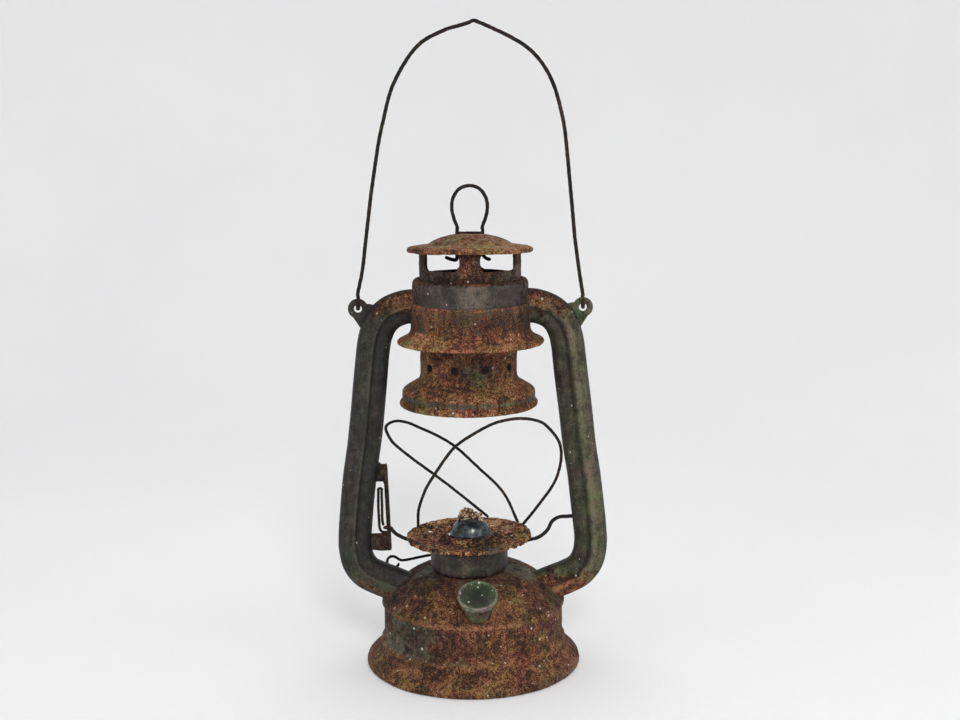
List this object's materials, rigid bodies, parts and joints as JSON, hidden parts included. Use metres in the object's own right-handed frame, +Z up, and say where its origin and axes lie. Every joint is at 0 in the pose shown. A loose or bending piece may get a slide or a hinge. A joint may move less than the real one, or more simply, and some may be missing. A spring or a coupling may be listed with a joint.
{
  "type": "barn lantern",
  "caption": "Rusted tubular oil lantern with a screw-capped tank, side air tubes, wire globe guard, sliding vented chimney and swinging wire bail.",
  "frame": {"origin": "centre of the foot's underside, where the lantern stands", "axes": "+Z up along the lantern, -Y is the side with the filler cap, +X is to the right seen from that side"},
  "size_m": [0.1528, 0.122, 0.3616],
  "materials": {
    "rust": "tank and plate sheet, heavily rusted dark brown with orange patches and flaked paint",
    "rusty_hood": "hood and globe cap sheet, orange brown rust with traces of grey green paint",
    "green_paint": "worn dark grey green enamel, rust at the edges and bends",
    "cap_paint": "faded green enamel, chipped at the rim",
    "dark_wire": "blackened steel wire, lightly rusted",
    "burner_steel": "heat-blued steel, fairly shiny",
    "brass": "tarnished dull brass",
    "charred_wick": "woven cotton wick, charred and crumbly at the top",
    "cork": "dark oil-soaked cork washer"
  },
  "bodies": {
    "frame": {"tank_skirt": "rust", "tank_dome": "rust", "tank_bottom": "rust", "filler_neck": "cap_paint", "air_cup": "green_paint", "burner_collar": "brass", "burner_body": "brass", "wick_tube": "brass", "left_side_tube": "green_paint", "right_side_tube": "green_paint", "left_bail_ear": "green_paint", "right_bail_ear": "green_paint", "lift_bracket": "rusty_hood", "bracket_rivet": "rust", "hood_upper_band": "green_paint", "hood_lower_band": "rusty_hood", "hood_shelf": "rusty_hood"},
    "chimney": {"globe_cap": "rusty_hood", "chimney_tube": "rust", "vent_crown": "green_paint", "top_cap": "rusty_hood", "lift_ring": "dark_wire", "chimney_spring": "dark_wire"},
    "bail": {"bail": "dark_wire"},
    "carrier": {"globe_plate": "rust", "burner_cone": "burner_steel", "carrier_wire": "dark_wire", "rear_guard_wire": "dark_wire", "front_guard_wire": "dark_wire"},
    "lift_link": {"lift_link": "dark_wire"},
    "wick_key": {"wick_key": "dark_wire", "wick_wheel": "brass"},
    "wick": {"wick": "charred_wick"},
    "cap_gasket": {"filler_gasket": "cork"},
    "filler_cap": {"filler_cap": "cap_paint"}
  },
  "joints": [
    {"name": "bail_swing", "type": "hinge", "parent": "frame", "child": "bail", "pos_m": [0, 0, 0.2084], "axis": [1, 0, 0], "range_deg": [-105, 105]},
    {"name": "chimney_lift", "type": "slide", "parent": "frame", "child": "chimney", "axis": [0, 0, 1], "range_m": [0, 0.015], "stiffness_N_per_m": 250, "springref_m": -0.02, "deforming": ["chimney_spring"]},
    {"name": "carrier_tilt", "type": "hinge", "parent": "frame", "child": "carrier", "pos_m": [0.057, 0, 0.085], "axis": [0, 1, 0], "range_deg": [0, 4.3]},
    {"name": "link_lift", "type": "slide", "parent": "frame", "child": "lift_link", "axis": [0, 0, 1], "range_m": [0, 0.0082]},
    {"name": "key_turn", "type": "hinge", "parent": "frame", "child": "wick_key", "pos_m": [-0.0464, 0.011, 0.0548], "axis": [0.9682, -0.121, 0.2191], "range_deg": [-94, 38]},
    {"name": "wick_feed", "type": "slide", "parent": "frame", "child": "wick", "axis": [0, 0, 1], "range_m": [-0.002, 0.005]},
    {"name": "cap_rise", "type": "slide", "parent": "frame", "child": "cap_gasket", "axis": [0, -0.4633, 0.8862], "range_m": [0, 0.0046]},
    {"name": "cap_turn", "type": "hinge", "parent": "cap_gasket", "child": "filler_cap", "pos_m": [0.0028, -0.0496, 0.0556], "axis": [0, -0.4633, 0.8862], "range_deg": [0, 540]}
  ],
  "couplings": [
    {"joint": "link_lift", "follows": "carrier_tilt", "m_per_rad": 0.1068},
    {"joint": "key_turn", "follows": "wick_feed", "rad_per_m": -327.87},
    {"joint": "cap_rise", "follows": "cap_turn", "m_per_rad": 0.000477}
  ]
}
